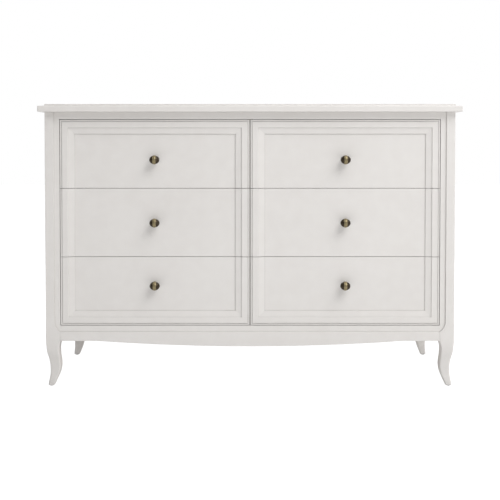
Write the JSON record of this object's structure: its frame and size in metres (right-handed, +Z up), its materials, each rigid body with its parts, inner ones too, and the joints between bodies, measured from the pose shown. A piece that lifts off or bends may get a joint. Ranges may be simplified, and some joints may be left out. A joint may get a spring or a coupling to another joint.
{
  "type": "dresser",
  "caption": "Wide wooden dresser with two banks of drawers framed by stepped mouldings, oval metal knobs, a shaped apron and S-curved legs.",
  "frame": {"origin": "on the floor, at the centre of the overall box, knobs included", "axes": "+X to the right of someone facing the drawers, +Y from the fronts to the back, +Z up"},
  "size_m": [1.34, 0.4806, 0.9],
  "materials": {
    "white_paint": "satin paint",
    "drawer_wood": "clear lacquer",
    "drawer_bottom": "clear lacquer",
    "back_board": "bare hardboard",
    "bare_board": "bare",
    "antique_brass": "dark antique",
    "zinc_steel": "zinc plated",
    "glide_plastic": "matte"
  },
  "bodies": {
    "case": {"top_board": "white_paint", "front_left_leg": "white_paint", "front_right_leg": "white_paint", "rear_left_leg": "white_paint", "rear_right_leg": "white_paint", "side_panels": "white_paint", "side_aprons": "white_paint", "front_apron": "white_paint", "front_top_rail": "white_paint", "rear_top_rail": "white_paint", "rear_bottom_rail": "white_paint", "back_panel": "back_board", "bottom_panel": "bare_board", "centre_partition": "bare_board", "slide_cleats": "bare_board", "case_slides": "zinc_steel", "top_screws": "zinc_steel", "foot_glides": "glide_plastic"},
    "bottom_left_drawer": {"bottom_left_drawer_front": "white_paint", "bottom_left_drawer_box_sides": "drawer_wood", "bottom_left_drawer_box_back": "drawer_wood", "bottom_left_drawer_box_bottom": "drawer_bottom", "bottom_left_drawer_knob": "antique_brass", "bottom_left_drawer_inner_slides": "zinc_steel"},
    "bottom_left_slide_carriers": {"bottom_left_drawer_middle_slides": "zinc_steel"},
    "middle_left_drawer": {"middle_left_drawer_front": "white_paint", "middle_left_drawer_box_sides": "drawer_wood", "middle_left_drawer_box_back": "drawer_wood", "middle_left_drawer_box_bottom": "drawer_bottom", "middle_left_drawer_knob": "antique_brass", "middle_left_drawer_inner_slides": "zinc_steel"},
    "middle_left_slide_carriers": {"middle_left_drawer_middle_slides": "zinc_steel"},
    "top_left_drawer": {"top_left_drawer_front": "white_paint", "top_left_drawer_box_sides": "drawer_wood", "top_left_drawer_box_back": "drawer_wood", "top_left_drawer_box_bottom": "drawer_bottom", "top_left_drawer_knob": "antique_brass", "top_left_drawer_inner_slides": "zinc_steel"},
    "top_left_slide_carriers": {"top_left_drawer_middle_slides": "zinc_steel"},
    "bottom_right_drawer": {"bottom_right_drawer_front": "white_paint", "bottom_right_drawer_box_sides": "drawer_wood", "bottom_right_drawer_box_back": "drawer_wood", "bottom_right_drawer_box_bottom": "drawer_bottom", "bottom_right_drawer_knob": "antique_brass", "bottom_right_drawer_inner_slides": "zinc_steel"},
    "bottom_right_slide_carriers": {"bottom_right_drawer_middle_slides": "zinc_steel"},
    "middle_right_drawer": {"middle_right_drawer_front": "white_paint", "middle_right_drawer_box_sides": "drawer_wood", "middle_right_drawer_box_back": "drawer_wood", "middle_right_drawer_box_bottom": "drawer_bottom", "middle_right_drawer_knob": "antique_brass", "middle_right_drawer_inner_slides": "zinc_steel"},
    "middle_right_slide_carriers": {"middle_right_drawer_middle_slides": "zinc_steel"},
    "top_right_drawer": {"top_right_drawer_front": "white_paint", "top_right_drawer_box_sides": "drawer_wood", "top_right_drawer_box_back": "drawer_wood", "top_right_drawer_box_bottom": "drawer_bottom", "top_right_drawer_knob": "antique_brass", "top_right_drawer_inner_slides": "zinc_steel"},
    "top_right_slide_carriers": {"top_right_drawer_middle_slides": "zinc_steel"}
  },
  "joints": [
    {"name": "bottom_left_drawer_slide", "type": "slide", "parent": "case", "child": "bottom_left_drawer", "axis": [0, -1, 0], "range_m": [0, 0.38]},
    {"name": "bottom_left_carrier_slide", "type": "slide", "parent": "case", "child": "bottom_left_slide_carriers", "axis": [0, -1, 0], "range_m": [0, 0.19]},
    {"name": "middle_left_drawer_slide", "type": "slide", "parent": "case", "child": "middle_left_drawer", "axis": [0, -1, 0], "range_m": [0, 0.38]},
    {"name": "middle_left_carrier_slide", "type": "slide", "parent": "case", "child": "middle_left_slide_carriers", "axis": [0, -1, 0], "range_m": [0, 0.19]},
    {"name": "top_left_drawer_slide", "type": "slide", "parent": "case", "child": "top_left_drawer", "axis": [0, -1, 0], "range_m": [0, 0.38]},
    {"name": "top_left_carrier_slide", "type": "slide", "parent": "case", "child": "top_left_slide_carriers", "axis": [0, -1, 0], "range_m": [0, 0.19]},
    {"name": "bottom_right_drawer_slide", "type": "slide", "parent": "case", "child": "bottom_right_drawer", "axis": [0, -1, 0], "range_m": [0, 0.38]},
    {"name": "bottom_right_carrier_slide", "type": "slide", "parent": "case", "child": "bottom_right_slide_carriers", "axis": [0, -1, 0], "range_m": [0, 0.19]},
    {"name": "middle_right_drawer_slide", "type": "slide", "parent": "case", "child": "middle_right_drawer", "axis": [0, -1, 0], "range_m": [0, 0.38]},
    {"name": "middle_right_carrier_slide", "type": "slide", "parent": "case", "child": "middle_right_slide_carriers", "axis": [0, -1, 0], "range_m": [0, 0.19]},
    {"name": "top_right_drawer_slide", "type": "slide", "parent": "case", "child": "top_right_drawer", "axis": [0, -1, 0], "range_m": [0, 0.38]},
    {"name": "top_right_carrier_slide", "type": "slide", "parent": "case", "child": "top_right_slide_carriers", "axis": [0, -1, 0], "range_m": [0, 0.19]}
  ],
  "couplings": [
    {"joint": "bottom_left_carrier_slide", "follows": "bottom_left_drawer_slide", "ratio": 0.5},
    {"joint": "middle_left_carrier_slide", "follows": "middle_left_drawer_slide", "ratio": 0.5},
    {"joint": "top_left_carrier_slide", "follows": "top_left_drawer_slide", "ratio": 0.5},
    {"joint": "bottom_right_carrier_slide", "follows": "bottom_right_drawer_slide", "ratio": 0.5},
    {"joint": "middle_right_carrier_slide", "follows": "middle_right_drawer_slide", "ratio": 0.5},
    {"joint": "top_right_carrier_slide", "follows": "top_right_drawer_slide", "ratio": 0.5}
  ]
}
